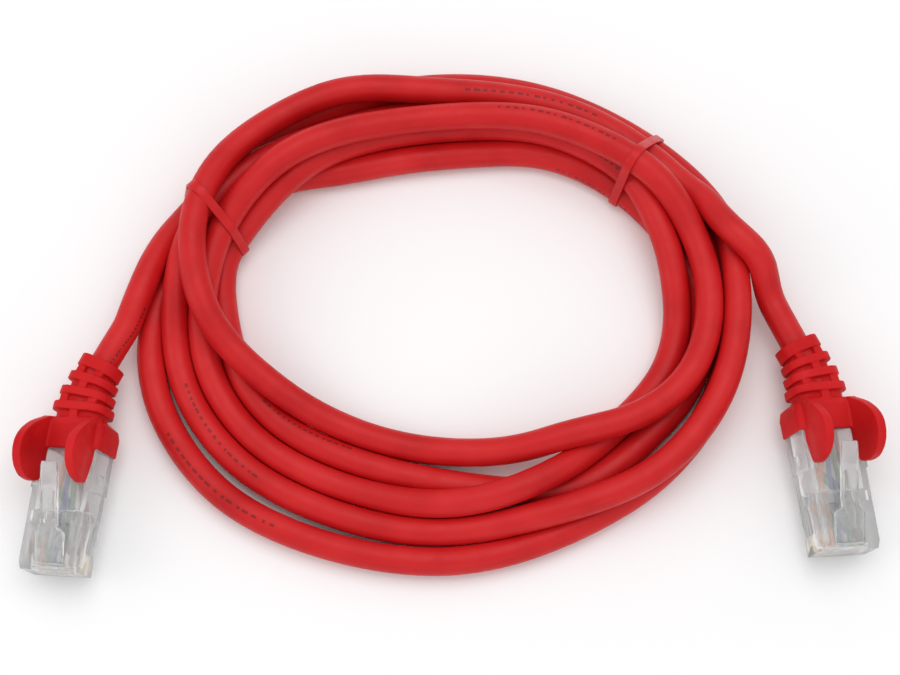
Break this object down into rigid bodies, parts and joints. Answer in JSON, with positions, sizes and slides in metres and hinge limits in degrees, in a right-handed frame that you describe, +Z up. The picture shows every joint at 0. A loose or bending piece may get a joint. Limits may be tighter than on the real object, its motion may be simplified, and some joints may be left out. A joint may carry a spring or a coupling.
{
  "type": "ethernet patch cable",
  "caption": "Coiled patch cord with a clear latched modular plug and a ribbed eared boot on each end, held by flat bands, for joining network equipment.",
  "frame": {"origin": "on the ground under the middle of the whole cable as it lies coiled", "axes": "+X from the left plug to the right plug, -Y the way both plugs point, +Z up from the ground"},
  "size_m": [0.16, 0.1023, 0.0193],
  "materials": {
    "jacket_red": "satin PVC",
    "boot_red": "soft moulded PVC, fine matt grain",
    "tie_red": "flat extruded band",
    "clear_plastic": "clear moulded polycarbonate",
    "guide_plastic": "translucent moulded plastic",
    "gold_contact": "gold plated phosphor bronze",
    "wire_white_orange": "white insulation with an orange stripe",
    "wire_orange": "insulation",
    "wire_white_green": "white insulation with a green stripe",
    "wire_blue": "insulation",
    "wire_white_blue": "white insulation with a blue stripe",
    "wire_green": "insulation",
    "wire_white_brown": "white insulation with a brown stripe",
    "wire_brown": "insulation"
  },
  "bodies": {
    "cable": {"cable_coil": "jacket_red", "plug_housing_left": "clear_plastic", "wire_guide_left": "guide_plastic", "strain_bar_left": "clear_plastic", "contact_left_1": "gold_contact", "contact_left_2": "gold_contact", "contact_left_3": "gold_contact", "contact_left_4": "gold_contact", "contact_left_5": "gold_contact", "contact_left_6": "gold_contact", "contact_left_7": "gold_contact", "contact_left_8": "gold_contact", "conductor_left_1": "wire_white_orange", "conductor_left_2": "wire_orange", "conductor_left_3": "wire_white_green", "conductor_left_4": "wire_blue", "conductor_left_5": "wire_white_blue", "conductor_left_6": "wire_green", "conductor_left_7": "wire_white_brown", "conductor_left_8": "wire_brown", "boot_left": "boot_red", "jacket_end_left": "jacket_red", "cable_lead_left": "jacket_red", "tie_left": "tie_red", "plug_housing_right": "clear_plastic", "wire_guide_right": "guide_plastic", "strain_bar_right": "clear_plastic", "contact_right_1": "gold_contact", "contact_right_2": "gold_contact", "contact_right_3": "gold_contact", "contact_right_4": "gold_contact", "contact_right_5": "gold_contact", "contact_right_6": "gold_contact", "contact_right_7": "gold_contact", "contact_right_8": "gold_contact", "conductor_right_1": "wire_white_orange", "conductor_right_2": "wire_orange", "conductor_right_3": "wire_white_green", "conductor_right_4": "wire_blue", "conductor_right_5": "wire_white_blue", "conductor_right_6": "wire_green", "conductor_right_7": "wire_white_brown", "conductor_right_8": "wire_brown", "boot_right": "boot_red", "jacket_end_right": "jacket_red", "cable_lead_right": "jacket_red", "tie_right": "tie_red"},
    "latch_left": {"latch_lever_left": "clear_plastic"},
    "latch_right": {"latch_lever_right": "clear_plastic"}
  },
  "joints": [
    {"name": "latch_left_press", "type": "hinge", "parent": "cable", "child": "latch_left", "pos_m": [-0.07329, -0.04882, 0.00868], "axis": [-0.9503, 0.1066, -0.2924], "range_deg": [0, 15], "stiffness_Nm_per_rad": 0.02},
    {"name": "latch_right_press", "type": "hinge", "parent": "cable", "child": "latch_right", "pos_m": [0.07329, -0.04502, 0.00868], "axis": [-0.9503, -0.1066, 0.2924], "range_deg": [0, 15], "stiffness_Nm_per_rad": 0.02}
  ]
}
